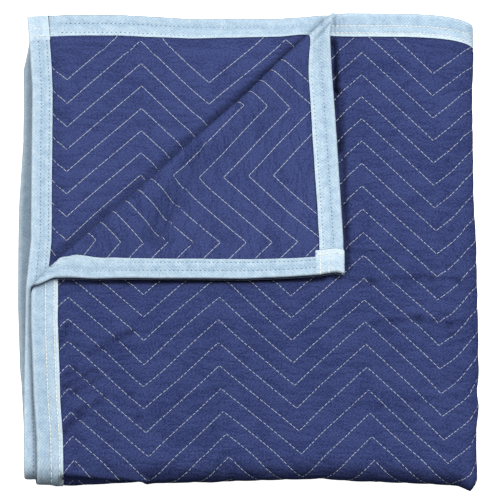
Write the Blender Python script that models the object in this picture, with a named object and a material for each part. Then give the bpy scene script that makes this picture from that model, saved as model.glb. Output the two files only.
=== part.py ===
# A moving blanket: a quilted sheet with a bound edge, folded four times across and once over,
# lying on its last fold's side, with the far left corner of its top layer turned back.
# Every piece is cut flat, in sheet coordinates, and then folded by one formula.
#   u runs along the cloth from one short side to the other, v from one long side to the other,
#   w is the height over the middle of the cloth, above zero on its outer face.
# Metres, +Z up, +X right, +Y away from the viewer. The origin is under the middle of the pack.

import math

import bmesh
import bpy
import numpy as np

# Driving dimensions
PITCH = 0.0050  # from one layer to the next
QUILT_HALF = 0.0023  # half the thickness of the quilt
EDGE_HALF = 0.00105  # half its thickness where the tape presses it
TAPE = 0.0009  # thickness of the binding tape
GAP = 0.0003  # between neighbouring pieces
FACE_FLANGE = 0.0280  # width of the tape on the outer face
BACK_FLANGE = 0.0235  # width of the tape on the back
RELAXED = 0.0330  # distance from the edge at which the quilt is at full thickness

LEFT_OPEN = -0.2180  # where the two open sides lie, across the pack
LEFT_FOLD = -0.2040  # middle of the bend on the left
RIGHT_FOLD = 0.2170  # middle of the bends on the right
FAR_EDGE = 0.2560  # where the long sides lie
FRONT_FOLD = -0.2353  # middle of the last fold, at the front
FOLD_STEPS = 8  # facets round the front fold
BEND_STEPS = 6  # facets round the large bend on the right
SMALL_BEND_STEPS = 4

TURN_REACH = 0.2257  # from the corner of the sheet to the line where it starts to turn back
TURN_RADIUS = 0.0070
TURN_STEPS = 6
TURN_REST = 0.0062  # height of the turned corner over the layer under it, middle to middle
TURN_FALL = 0.0700  # distance from the roll over which it comes down to that height
TURN_DRAG = 0.0300  # and over which it is dragged askew
TURN_LEAN = math.radians(3.44)  # slant of its far side, anticlockwise from above
TURN_MIDDLE = 0.1663  # y of the line that it leans about
TURN_LEAN_TO = -0.0050  # y of the line where the lean ends

RUN_STEP = 0.0720  # longest facet across the pack, where it is flat
DEPTH_STEP = 0.0580  # longest facet from its far edge to its front fold
ROUND_STEPS = 2  # facets across the rounded right side
SAME_POINT = 2e-5  # closer than this, a line of the turn passes through a point of the sheet
SMOOTH_BELOW = math.radians(50)  # an edge that turns less than this is shaded smooth

MIDDLE = (0.0033, -0.0007)  # puts the middle of the pack over the origin
CENTRE_HEIGHT = 3.5 * PITCH + QUILT_HALF  # the plane between the fourth layer and the fifth
RIGHT_EDGE = RIGHT_FOLD + 1.5 * PITCH + QUILT_HALF
TAPE_OUT = EDGE_HALF + GAP + TAPE
EDGE_LINES = (0.0, BACK_FLANGE + 2 * GAP, FACE_FLANGE + 2 * GAP)  # lines in from a bound side
RUN = FAR_EDGE - FRONT_FOLD
FOLD_LENGTH = math.pi * 2 * PITCH
SHEET_V = 2 * RUN + FOLD_LENGTH

NAVY = (0.050, 0.068, 0.185, 1.0)
LIGHT_BLUE = (0.45, 0.58, 0.70, 1.0)

# The cross-section of the upper four layers, in order along the cloth. A run starts at x and goes
# the way that turn gives; a bend is round a middle at x, and turns clockwise for -1.
SECTION_COLUMNS = ("kind", "x", "level", "radius", "turn")
SECTION = (
    ("run", LEFT_OPEN, 3.5, 0.0, 1),
    ("bend", RIGHT_FOLD, 2.0, 1.5, -1),
    ("run", RIGHT_FOLD, 0.5, 0.0, -1),
    ("bend", LEFT_FOLD, 1.0, 0.5, -1),
    ("run", LEFT_FOLD, 1.5, 0.0, 1),
    ("bend", RIGHT_FOLD, 2.0, 0.5, 1),
    ("run", RIGHT_FOLD, 2.5, 0.0, -1),
)

# How far the open sides and the folds wander across the pack, by the share of the way along v.
WANDER_COLUMNS = ("share", "outer_side", "inner_side", "right_folds")
WANDER = (
    (0.00, -0.0010, -0.0070, 0.0000),
    (0.04, -0.0005, -0.0036, 0.0002),
    (0.08, 0.0000, -0.0008, -0.0018),
    (0.20, 0.0004, -0.0001, -0.0020),
    (0.25, 0.0005, 0.0002, 0.0000),
    (0.30, 0.0000, -0.0040, 0.0000),
    (0.34, 0.0003, -0.0040, 0.0005),
    (0.42, 0.0040, -0.0045, -0.0005),
    (0.46, 0.0072, -0.0038, -0.0035),
    (0.50, 0.0085, -0.0032, -0.0024),
    (0.54, 0.0005, -0.0035, -0.0025),
    (0.62, -0.0105, -0.0085, -0.0010),
    (0.70, -0.0140, -0.0125, -0.0020),
    (0.80, -0.0145, -0.0130, -0.0025),
    (0.88, -0.0105, -0.0095, -0.0030),
    (0.955, -0.0120, -0.0100, -0.0030),
    (1.00, -0.0035, -0.0025, -0.0030),
)
WANDER_REACH = 0.2000  # how far into the pack an edge's wandering is felt

# How far the front fold and the far edge stand out from the pack, across it.
ENDS_COLUMNS = ("x", "front", "far")
ENDS = (
    (-0.230, 0.0010, 0.0000),
    (-0.185, 0.0025, 0.0028),
    (-0.130, 0.0012, 0.0018),
    (-0.060, 0.0000, -0.0030),
    (0.030, -0.0030, -0.0026),
    (0.072, -0.0042, 0.0006),
    (0.096, -0.0018, 0.0010),
    (0.160, 0.0008, 0.0004),
    (0.205, 0.0026, -0.0020),
    (0.230, 0.0050, -0.0045),
)
ENDS_REACH = 0.1500  # how far into the pack the ends' unevenness is felt

# How far the turned corner is drawn towards the far side, across the pack.
DRAWN_COLUMNS = ("x", "up")
DRAWN = (
    (-0.230, 0.0040),
    (-0.165, 0.0038),
    (-0.050, 0.0028),
    (0.040, 0.0010),
    (0.070, 0.0025),
    (0.094, 0.0030),
)

# Soft rises of the top, by their middle, their reach both ways and their height.
SWELL_COLUMNS = ("x", "y", "reach_x", "reach_y", "height")
SWELLS = (
    (0.060, -0.050, 0.140, 0.110, 0.0025),
    (-0.120, -0.130, 0.070, 0.060, 0.0012),
    (0.150, -0.120, 0.070, 0.050, -0.0012),
    (0.170, 0.080, 0.080, 0.100, 0.0012),
)
PRESSED_FRONT = 0.16  # share of the height that the front fold is pressed down
PRESSED_REACH = 0.1500
PRESSED_LEFT = 0.06
LEFT_REACH = 0.1200
PRESSED_RIGHT = 0.36  # the right side is rounded off, because the inner folds are pressed flat there
RIGHT_REACH = 0.0620
RIGHT_POWER = 3.0


def column(rows, columns, name):
    return np.array([row[columns.index(name)] for row in rows])


def section_lengths():
    """Where each run and bend of the cross-section starts, along u, and where the cloth ends."""
    run_across = RIGHT_FOLD - LEFT_FOLD
    lengths = [RIGHT_FOLD - LEFT_OPEN, math.pi * 1.5 * PITCH, run_across, math.pi * 0.5 * PITCH]
    lengths += [run_across, math.pi * 0.5 * PITCH, RIGHT_FOLD - LEFT_OPEN]
    return np.concatenate([[0.0], np.cumsum(lengths)])


STARTS = section_lengths()
SHEET_U = STARTS[-1]


def smooth(t):
    t = np.clip(t, 0.0, 1.0)
    return t * t * (3.0 - 2.0 * t)


def across(u, w):
    """The cross-section: x and the height n over the pack's middle, for cloth folded into four layers."""
    x, n = np.zeros_like(u), np.zeros_like(u)
    for k, (kind, x0, level, radius, turn) in enumerate(SECTION):
        first = -np.inf if k == 0 else STARTS[k]
        last = np.inf if k == len(SECTION) - 1 else STARTS[k + 1]
        here = (u >= first) & (u < last)
        s, rise = u[here] - STARTS[k], w[here]
        if kind == "run":
            x[here] = x0 + turn * s
            n[here] = level * PITCH + turn * rise
        else:
            r = radius * PITCH
            angle = -turn * math.pi / 2 + turn * s / r
            # The bend on the left starts under its middle and still turns clockwise.
            if x0 == LEFT_FOLD:
                angle = -math.pi / 2 - s / r
            x[here] = x0 + (r - turn * rise) * np.cos(angle)
            n[here] = level * PITCH + (r - turn * rise) * np.sin(angle)
    return x, n


def wander(u, v, x):
    """The sideways shift of the open sides and of the folds on the right."""
    share = v / SHEET_V
    shares = column(WANDER, WANDER_COLUMNS, "share")
    outer = np.interp(share, shares, column(WANDER, WANDER_COLUMNS, "outer_side"))
    inner = np.interp(share, shares, column(WANDER, WANDER_COLUMNS, "inner_side"))
    folds = np.interp(share, shares, column(WANDER, WANDER_COLUMNS, "right_folds"))
    side = np.where(u < STARTS[1], outer, np.where(u >= STARTS[6], inner, 0.0))
    near_side = smooth(1.0 - (x - LEFT_OPEN) / WANDER_REACH)
    near_folds = smooth(1.0 - (RIGHT_FOLD - x) / WANDER_REACH)
    return side * near_side + folds * near_folds


def turned_back(u, v, w):
    """The corner of the top layer, rolled up round a diagonal line and laid back on itself.
    Gives its shift in x and against y, its height over the layer's middle and how far past the roll it is."""
    reach = TURN_REACH - (u + v) * math.sqrt(0.5)
    facets = np.linspace(0.0, math.pi, TURN_STEPS + 1)
    past = np.maximum(reach - math.pi * TURN_RADIUS, 0.0)
    away = (TURN_RADIUS - w) * np.interp(reach / TURN_RADIUS, facets, np.sin(facets)) - past
    height = TURN_RADIUS - (TURN_RADIUS - w) * np.interp(reach / TURN_RADIUS, facets, np.cos(facets))
    height -= (2 * TURN_RADIUS - TURN_REST) * smooth(past / TURN_FALL)
    shift = np.where(reach > 0.0, reach - away, 0.0) * math.sqrt(0.5)
    return shift, np.where(reach > 0.0, height, w), past


def press(x, y, z):
    """Presses the pack thinner at its front fold and its sides, lets its top swell, and bends its ends."""
    front = smooth(1.0 - (y - FRONT_FOLD) / PRESSED_REACH)
    left = smooth(1.0 - (x - LEFT_OPEN) / LEFT_REACH)
    right = np.clip(1.0 - (RIGHT_EDGE - x) / RIGHT_REACH, 0.0, 1.0) ** RIGHT_POWER
    scale = (1.0 - PRESSED_FRONT * front) * (1.0 - PRESSED_LEFT * left) * (1.0 - PRESSED_RIGHT * right)
    rise = np.zeros_like(x)
    for x0, y0, reach_x, reach_y, height in SWELLS:
        rise += height * np.exp(-(((x - x0) / reach_x) ** 2) - ((y - y0) / reach_y) ** 2)
    share = np.clip(z / (8 * PITCH), 0.0, 2.0)
    places = column(ENDS, ENDS_COLUMNS, "x")
    ahead = np.interp(x, places, column(ENDS, ENDS_COLUMNS, "front"))
    beyond = np.interp(x, places, column(ENDS, ENDS_COLUMNS, "far"))
    ahead = ahead * smooth(1.0 - (y - FRONT_FOLD) / ENDS_REACH)
    beyond = beyond * smooth(1.0 - (FAR_EDGE - y) / ENDS_REACH)
    return x, y - ahead + beyond, z * scale + rise * share


def folded(points):
    """Sheet coordinates to places in the folded pack."""
    u, v, w = points.T
    top = (u < STARTS[1]) & (v < RUN)
    shift, height, past = turned_back(u, v, w)
    shift, dragged = np.where(top, shift, 0.0), np.where(top, smooth(past / TURN_DRAG), 0.0)
    x, n = across(u, np.where(top, height, w))
    x = x + wander(u, v, x) + shift
    angle = np.clip((v - RUN) / FOLD_LENGTH, 0.0, 1.0) * math.pi
    run = np.minimum(v, RUN) - np.maximum(v - RUN - FOLD_LENGTH, 0.0)
    y = FAR_EDGE - run - n * np.sin(angle) - shift
    z = CENTRE_HEIGHT + n * np.cos(angle)
    x = x - dragged * TURN_LEAN * (np.maximum(y, TURN_LEAN_TO) - TURN_MIDDLE)
    y = y + dragged * np.interp(x, column(DRAWN, DRAWN_COLUMNS, "x"), column(DRAWN, DRAWN_COLUMNS, "up"))
    x, y, z = press(x, y, z)
    return np.stack([x + MIDDLE[0], y + MIDDLE[1], z], axis=1)


def split(first, last, step):
    """Even lines from first to last, no further apart than step, without the last."""
    count = max(1, math.ceil((last - first) / step))
    return [first + (last - first) * k / count for k in range(count)]


def stations():
    """The places across the pack where every layer has a line, so that neighbours have the same facets."""
    first, rounded = LEFT_OPEN + RELAXED, RIGHT_EDGE - RIGHT_REACH
    return split(first, rounded, RUN_STEP) + split(rounded, RIGHT_FOLD, RIGHT_REACH / ROUND_STEPS)


def u_lines():
    """The lines across the cloth, to the micrometre: bound sides, flat runs and the facets of the bends."""
    lines = list(EDGE_LINES) + [SHEET_U - edge for edge in EDGE_LINES]
    for k, (kind, x0, _, radius, turn) in enumerate(SECTION):
        first, last = STARTS[k], STARTS[k + 1]
        if kind == "bend":
            steps = BEND_STEPS if radius > 1 else SMALL_BEND_STEPS
            lines += split(first, last, (last - first) / steps)
        else:
            lines += [first] + [first + turn * (x - x0) for x in stations()]
    return np.unique(np.round(lines, 6))


def v_lines():
    """The lines along the cloth: its bound sides, the two runs and the facets of the front fold."""
    lines = list(EDGE_LINES) + split(RELAXED, RUN, DEPTH_STEP)
    lines += split(RUN, RUN + FOLD_LENGTH, FOLD_LENGTH / FOLD_STEPS)
    lines += split(RUN + FOLD_LENGTH, SHEET_V - RELAXED, DEPTH_STEP) + [SHEET_V - RELAXED]
    return np.array(lines + [SHEET_V - edge for edge in reversed(EDGE_LINES)])


def cut_turn_lines(mesh):
    """Adds edges where the corner starts and stops turning, and between, so that the roll is round."""
    for step in range(TURN_STEPS + 1):
        reach = TURN_REACH - math.pi * TURN_RADIUS * step / TURN_STEPS
        corner = [f for f in mesh.faces if sum(f.calc_center_median()[:2]) < 2 * TURN_REACH]
        near = {v for f in corner for v in f.verts} | {e for f in corner for e in f.edges} | set(corner)
        middle = (reach * math.sqrt(0.5), reach * math.sqrt(0.5), 0.0)
        line = dict(plane_co=middle, plane_no=(1, 1, 0), dist=SAME_POINT)
        bmesh.ops.bisect_plane(mesh, geom=list(near), **line)


def make_piece(name, mesh, material, group):
    """Folds a flat piece and puts it into the scene."""
    cut_turn_lines(mesh)
    places = folded(np.array([v.co[:] for v in mesh.verts], dtype=np.float64))
    for vertex, place in zip(mesh.verts, places):
        vertex.co = place
    mesh.normal_update()
    bmesh.ops.triangulate(mesh, faces=mesh.faces[:], quad_method="SHORT_EDGE")
    bmesh.ops.recalc_face_normals(mesh, faces=mesh.faces[:])
    if mesh.calc_volume(signed=True) < 0:
        bmesh.ops.reverse_faces(mesh, faces=mesh.faces[:])
    data = bpy.data.meshes.new(name)
    mesh.to_mesh(data)
    mesh.free()
    data.materials.append(material)
    data.shade_smooth()
    data.set_sharp_from_angle(angle=SMOOTH_BELOW)
    piece = bpy.data.objects.new(name, data)
    group.objects.link(piece)
    return piece


def flat_quilt():
    """A slab on the lines of the sheet, thinner along its bound sides."""
    us, vs = u_lines(), v_lines()
    mesh = bmesh.new()
    bmesh.ops.create_grid(mesh, x_segments=len(us) - 1, y_segments=len(vs) - 1, size=1.0)
    columns, rows = len(us) - 1, len(vs) - 1
    for vertex in mesh.verts:
        i = round((vertex.co.x + 1) / 2 * columns)
        j = round((vertex.co.y + 1) / 2 * rows)
        vertex.co = (us[i], vs[j], -1.0)
    raised = bmesh.ops.extrude_face_region(mesh, geom=mesh.faces[:])["geom"]
    for vertex in (v for v in raised if isinstance(v, bmesh.types.BMVert)):
        vertex.co.z = 1.0
    for vertex in mesh.verts:
        u, v, side = vertex.co
        inside = sorted((min(u, SHEET_U - u), min(v, SHEET_V - v)))
        flange = FACE_FLANGE if side > 0 else BACK_FLANGE
        pressed = inside[0] < flange + 3 * GAP or inside[1] < RELAXED + GAP
        vertex.co.z = side * (EDGE_HALF if pressed else QUILT_HALF)
    return mesh


def tape_profile(across_edge, back_flange):
    """The eight corners of a tape folded round an edge, as distance into the sheet and height w."""
    low, high = EDGE_HALF + GAP, TAPE_OUT
    out, web = -GAP - TAPE, -GAP
    points = ((FACE_FLANGE, high), (out, high), (out, -high), (back_flange, -high))
    points += ((back_flange, -low), (web, -low), (web, low), (FACE_FLANGE, low))
    return [(across_edge(inside), w) for inside, w in points]


def flat_tape(stations, across_edge, along_u, closed_ends):
    """A tape folded round one edge, carried along the stations. A closed end laps over the corner."""
    mesh = bmesh.new()

    def ring(station, back_flange):
        places = tape_profile(across_edge, back_flange)
        return [mesh.verts.new((station, a, w) if along_u else (a, station, w)) for a, w in places]

    def lapped(station):
        edge = min(station - stations[0], stations[-1] - station)
        return FACE_FLANGE if closed_ends and edge < FACE_FLANGE + 4 * GAP else BACK_FLANGE

    rings = [ring(s, lapped(s)) for s in stations]
    for before, after in zip(rings, rings[1:]):
        for k in range(8):
            m = (k + 1) % 8
            mesh.faces.new((before[k], before[m], after[m], after[k]))
    for end, outward in ((0, -1), (-1, 1)):
        inner = rings[end]
        if not closed_ends:
            mesh.faces.new((inner[7], inner[0], inner[1], inner[6]))
            mesh.faces.new((inner[1], inner[2], inner[5], inner[6]))
            mesh.faces.new((inner[2], inner[3], inner[4], inner[5]))
            continue
        cap = ring(stations[end] + outward * TAPE, FACE_FLANGE)
        for spare in cap[4:]:
            mesh.verts.remove(spare)
        mesh.faces.new(cap[:4])
        for k in range(3):
            mesh.faces.new((inner[k], inner[k + 1], cap[k + 1], cap[k]))
        mesh.faces.new((inner[4], inner[5], inner[6], inner[7]))
        mesh.faces.new((inner[0], inner[7], inner[4], inner[3], cap[3], cap[0]))
    return mesh


def side_tape(across_edge):
    stations = np.concatenate([[-GAP], v_lines()[1:-1], [SHEET_V + GAP]])
    return flat_tape(stations, across_edge, along_u=False, closed_ends=True)


def end_tape(across_edge):
    clear = FACE_FLANGE + GAP
    inside = [u for u in u_lines() if clear + GAP < u < SHEET_U - clear - GAP]
    stations = np.concatenate([[clear], inside, [SHEET_U - clear]])
    return flat_tape(stations, across_edge, along_u=True, closed_ends=False)


def make_material(name, colour, roughness):
    material = bpy.data.materials.new(name)
    material.use_nodes = True
    shader = material.node_tree.nodes["Principled BSDF"]
    shader.inputs["Base Color"].default_value = colour
    shader.inputs["Roughness"].default_value = roughness
    shader.inputs["Metallic"].default_value = 0.0
    return material


def main():
    for leftover in list(bpy.data.objects):
        bpy.data.objects.remove(leftover, do_unlink=True)
    group = bpy.data.collections.new("Moving blanket")
    bpy.context.scene.collection.children.link(group)
    tape = make_material("Binding tape", LIGHT_BLUE, 0.85)
    make_piece("quilt", flat_quilt(), make_material("Quilted cloth", NAVY, 0.9), group)
    make_piece("side_binding_outer", side_tape(lambda inside: inside), tape, group)
    make_piece("side_binding_inner", side_tape(lambda inside: SHEET_U - inside), tape, group)
    make_piece("end_binding_upper", end_tape(lambda inside: inside), tape, group)
    make_piece("end_binding_lower", end_tape(lambda inside: SHEET_V - inside), tape, group)


main()
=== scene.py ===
import math

import bpy
import numpy as np
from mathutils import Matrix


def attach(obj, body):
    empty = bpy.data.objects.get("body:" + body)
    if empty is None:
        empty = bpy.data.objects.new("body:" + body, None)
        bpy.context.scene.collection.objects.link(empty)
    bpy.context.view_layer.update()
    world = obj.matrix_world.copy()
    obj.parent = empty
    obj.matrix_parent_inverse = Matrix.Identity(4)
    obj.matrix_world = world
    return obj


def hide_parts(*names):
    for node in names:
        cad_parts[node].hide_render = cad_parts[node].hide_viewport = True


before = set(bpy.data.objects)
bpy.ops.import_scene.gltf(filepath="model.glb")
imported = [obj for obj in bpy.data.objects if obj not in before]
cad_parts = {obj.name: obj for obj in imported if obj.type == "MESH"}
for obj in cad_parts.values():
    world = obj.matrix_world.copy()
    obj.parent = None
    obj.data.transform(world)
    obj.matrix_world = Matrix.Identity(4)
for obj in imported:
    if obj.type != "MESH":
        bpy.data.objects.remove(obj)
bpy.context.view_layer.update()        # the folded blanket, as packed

print("frame loaded:", ", ".join(sorted(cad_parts)))

# The folded pack, as the part's source has it, in metres with +Z up. The cloth is worked out flat and
# then folded: u runs across it, v along it, and w is the height over its middle, above zero on its face.
pack = {
    "pitch": 0.0050,         # from one layer to the next
    "quiltHalf": 0.0023,     # half the quilt's thickness
    "edgeHalf": 0.00105,     # and half of it where the tape presses it
    "leftOpen": -0.2180,     # the two open sides
    "leftFold": -0.2040,
    "rightFold": 0.2170,
    "farEdge": 0.2560,
    "frontFold": -0.2353,
    "middle": (0.0033, -0.0007),     # puts the middle of the pack over the origin
    "raised": 0.00045,       # so that what stands out of the lowest layer stays over the floor
}
pitch = pack["pitch"]
centreHeight = 3.5 * pitch + pack["quiltHalf"]     # the level that the front fold turns about
rightEdge = pack["rightFold"] + 1.5 * pitch + pack["quiltHalf"]     # the outside of the widest fold
run = pack["farEdge"] - pack["frontFold"]
foldLength = math.pi * 2 * pitch
sheetV = 2 * run + foldLength
slant = math.sqrt(0.5)     # the share of a diagonal along either side

# The upper four layers in order along the cloth: kind, x, level, radius and the way it turns.
section = [
    ("run", pack["leftOpen"], 3.5, 0.0, 1),
    ("bend", pack["rightFold"], 2.0, 1.5, -1),
    ("run", pack["rightFold"], 0.5, 0.0, -1),
    ("bend", pack["leftFold"], 1.0, 0.5, -1),
    ("run", pack["leftFold"], 1.5, 0.0, 1),
    ("bend", pack["rightFold"], 2.0, 0.5, 1),
    ("run", pack["rightFold"], 2.5, 0.0, -1),
]
wide = pack["rightFold"] - pack["leftOpen"]
narrow = pack["rightFold"] - pack["leftFold"]
lengths = [wide, math.pi * 1.5 * pitch, narrow, math.pi * 0.5 * pitch, narrow, math.pi * 0.5 * pitch, wide]
starts = np.concatenate([[0.0], np.cumsum(lengths)])     # where each of them begins along u
sheetU = starts[-1]

# Sideways wandering of the open sides and of the folds on the right, by the share of the way along v.
wander = np.array([
    # share, outer side, inner side, right folds
    (0.00, -0.0010, -0.0070, 0.0000),
    (0.04, -0.0005, -0.0036, 0.0002),
    (0.08, 0.0000, -0.0008, -0.0018),
    (0.20, 0.0004, -0.0001, -0.0020),
    (0.25, 0.0005, 0.0002, 0.0000),
    (0.30, 0.0000, -0.0040, 0.0000),
    (0.34, 0.0003, -0.0040, 0.0005),
    (0.42, 0.0040, -0.0045, -0.0005),
    (0.46, 0.0072, -0.0038, -0.0035),
    (0.50, 0.0085, -0.0032, -0.0024),
    (0.54, 0.0005, -0.0035, -0.0025),
    (0.62, -0.0105, -0.0085, -0.0010),
    (0.70, -0.0140, -0.0125, -0.0020),
    (0.80, -0.0145, -0.0130, -0.0025),
    (0.88, -0.0105, -0.0095, -0.0030),
    (0.955, -0.0120, -0.0100, -0.0030),
    (1.00, -0.0035, -0.0025, -0.0030),
])
# How far the front fold and the far edge stand out, across the pack.
ends = np.array([
    # x, front, far
    (-0.230, 0.0010, 0.0000),
    (-0.185, 0.0025, 0.0028),
    (-0.130, 0.0012, 0.0018),
    (-0.060, 0.0000, -0.0030),
    (0.030, -0.0030, -0.0026),
    (0.072, -0.0042, 0.0006),
    (0.096, -0.0018, 0.0010),
    (0.160, 0.0008, 0.0004),
    (0.205, 0.0030, -0.0020),
    (0.212, 0.0062, -0.0026),
    (0.217, 0.0090, -0.0032),
    (0.221, 0.0055, -0.0036),
    (0.226, 0.0010, -0.0040),
    (0.230, -0.0010, -0.0045),
])
# Soft rises of the top.
swells = [
    # x, y, reach in x, reach in y, height
    (0.060, -0.050, 0.140, 0.110, 0.0025),
    (-0.120, -0.130, 0.070, 0.060, 0.0012),
    (0.150, -0.120, 0.070, 0.050, -0.0012),
    (0.170, 0.080, 0.080, 0.100, 0.0012),
]
turned = {
    "reach": 0.2250,         # from the cloth's corner to where it starts to turn back
    "radius": 0.0075,        # of the roll at its middle
    "tipRadius": 0.0027,     # and at its lower end, where the tape holds it flat
    "topRadius": 0.0045,     # and at its upper end
    "tipFrom": 0.110,        # the radius goes over to that of the ends between these
    "tipTo": 0.190,          # distances from the diagonal's middle
    "rest": 0.0062,          # height of the turned corner over the layer under it
    "fall": 0.0400,          # distance from the roll over which it comes down to that height
    "settle": 0.0700,        # and over which the roll's bends are evened out
    "lean": math.radians(3.44),     # how far it has swung round
    "middle": 0.1663,        # y of the line that it leans about
    "leanTo": -0.0050,       # and of the line where the lean ends
    "dragLead": 0.0040,      # it slides along the roll within this distance before it and a quarter turn
    "dragLate": 0.0220,      # and away from the roll within this distance past it
    "heldFrom": 0.165,       # at its lower end it slides along the roll only when it is past it, more
    "heldTo": 0.190,         # and more so between these distances from the middle,
    "heldLate": 0.0070,      # and within this distance from the roll
    "liftedPast": 0.0100,    # distance from the roll over which the lifts below come in
}
# The roll bends a little: how far it lies from that line, by the distance from the diagonal's middle.
rollBend = np.array([
    # along, away from the corner
    (-0.2232, 0.0025),
    (-0.1900, -0.0008),
    (-0.1400, 0.0009),
    (-0.1000, 0.0028),
    (-0.0300, 0.0034),
    (0.0800, 0.0026),
    (0.1400, -0.0016),
    (0.2000, -0.0014),
    (0.2232, -0.0008),
])
# Where the turned corner stands off the layer under it.
lifts = [
    # u, v, reach along u, reach along v, height
    (0.270, 0.000, 0.0400, 0.0200, 0.0110),
    (0.200, 0.000, 0.0700, 0.0120, 0.0014),
    (0.012, 0.012, 0.0150, 0.0150, 0.0016),
]
# How far its lower edge sags, by the distance from the cloth's corner.
sag = np.array([
    # v, down
    (0.000, 0.0000),
    (0.050, 0.0010),
    (0.100, 0.0040),
    (0.190, 0.0042),
    (0.250, 0.0026),
    (0.275, 0.0000),
])
sagReach = 0.0400     # how far up from that edge the sag is felt
# How far the turned corner is drawn up, across the pack.
drawn = np.array([
    # x, up
    (-0.230, 0.0040),
    (-0.165, 0.0038),
    (-0.050, 0.0028),
    (0.040, 0.0010),
    (0.070, 0.0025),
    (0.085, 0.0048),
    (0.094, 0.0030),
])
pressed = {
    # the share of its height that the pack loses at a side, and how far in that is felt
    "front": 0.16,
    "frontReach": 0.150,
    "left": 0.06,
    "leftReach": 0.120,
    "right": 0.36,
    "rightReach": 0.062,
    "rightPower": 3.0,       # the loss at the right grows like this power
    "wanderReach": 0.200,    # how far in the wandering of the sides and folds is felt
    "endsReach": 0.150,      # and the uneven front fold and far edge
}


def smooth(t):
    # 3t^2 - 2t^3 between 0 and 1
    t = np.clip(t, 0.0, 1.0)
    return t * t * (3.0 - 2.0 * t)


def bell(a, b, reachA, reachB):
    # e^-(a^2 + b^2), each as a share of its reach
    return np.exp(-((a / reachA) ** 2) - (b / reachB) ** 2)


def acrossPack(u, w):
    # a run is a level line, a bend a circle round its middle: x and the height over the pack's middle
    x, n = np.zeros_like(u), np.zeros_like(u)
    for k, (kind, x0, level, radius, turn) in enumerate(section):
        first = -np.inf if k == 0 else starts[k]
        last = np.inf if k == len(section) - 1 else starts[k + 1]
        here = (u >= first) & (u < last)
        s, rise = u[here] - starts[k], w[here]
        if kind == "run":
            x[here] = x0 + turn * s
            n[here] = level * pitch + turn * rise
            continue
        r = radius * pitch
        angle = -math.pi / 2 - s / r if x0 == pack["leftFold"] else -turn * math.pi / 2 + turn * s / r
        x[here] = x0 + (r - turn * rise) * np.cos(angle)
        n[here] = level * pitch + (r - turn * rise) * np.sin(angle)
    return x, n


def wandered(u, v, x):
    # a table value for each side, felt less and less into the pack
    share = v / sheetV
    outer, inner, folds = (np.interp(share, wander[:, 0], wander[:, k]) for k in (1, 2, 3))
    side = np.where(u < starts[1], outer, np.where(u >= starts[6], inner, 0.0))
    nearSide = smooth(1.0 - (x - pack["leftOpen"]) / pressed["wanderReach"])
    nearFolds = smooth(1.0 - (pack["rightFold"] - x) / pressed["wanderReach"])
    return side * nearSide + folds * nearFolds


def turnedBack(u, v, w):
    # The corner goes round a roll of radius r on the diagonal: it lies r sin(a) less what is past the roll
    # from it, and r - r cos(a) high, where a is the angle that the cloth has gone round.
    side = (u - v) * slant
    tip = smooth((np.abs(side) - turned["tipFrom"]) / (turned["tipTo"] - turned["tipFrom"]))
    narrower = (turned["radius"] - np.where(side < 0.0, turned["tipRadius"], turned["topRadius"])) * tip
    bend = np.interp(side, rollBend[:, 0], rollBend[:, 1])
    r = turned["radius"] - narrower
    reach = turned["reach"] + bend - narrower - (u + v) * slant
    a = np.clip(reach / r, 0.0, math.pi)
    past = np.maximum(reach - math.pi * r, 0.0)
    settled = smooth(past / turned["settle"])
    away = (r - w) * np.sin(a) - past + (2 * bend + (math.pi - 2) * narrower) * settled
    height = r - (r - w) * np.cos(a) - (2 * r - turned["rest"]) * smooth(past / turned["fall"])
    lifted = smooth(past / turned["liftedPast"])
    for u0, v0, reachU, reachV, rise in lifts:
        height += rise * bell(u - u0, v - v0, reachU, reachV) * lifted
    shift = np.where(reach > 0.0, reach - away, 0.0) * slant
    late = smooth(past / turned["dragLate"])
    early = smooth((reach + turned["dragLead"]) / (turned["dragLead"] + r * math.pi / 2))
    held = smooth((-side - turned["heldFrom"]) / (turned["heldTo"] - turned["heldFrom"]))
    slid = early + (smooth(past / turned["heldLate"]) - early) * held
    return shift, np.where(reach > 0.0, height, w), slid, late


def alike(reach, height, *lines):
    # creases of one reach and height
    return [(*line, reach, height) for line in lines]


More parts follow.
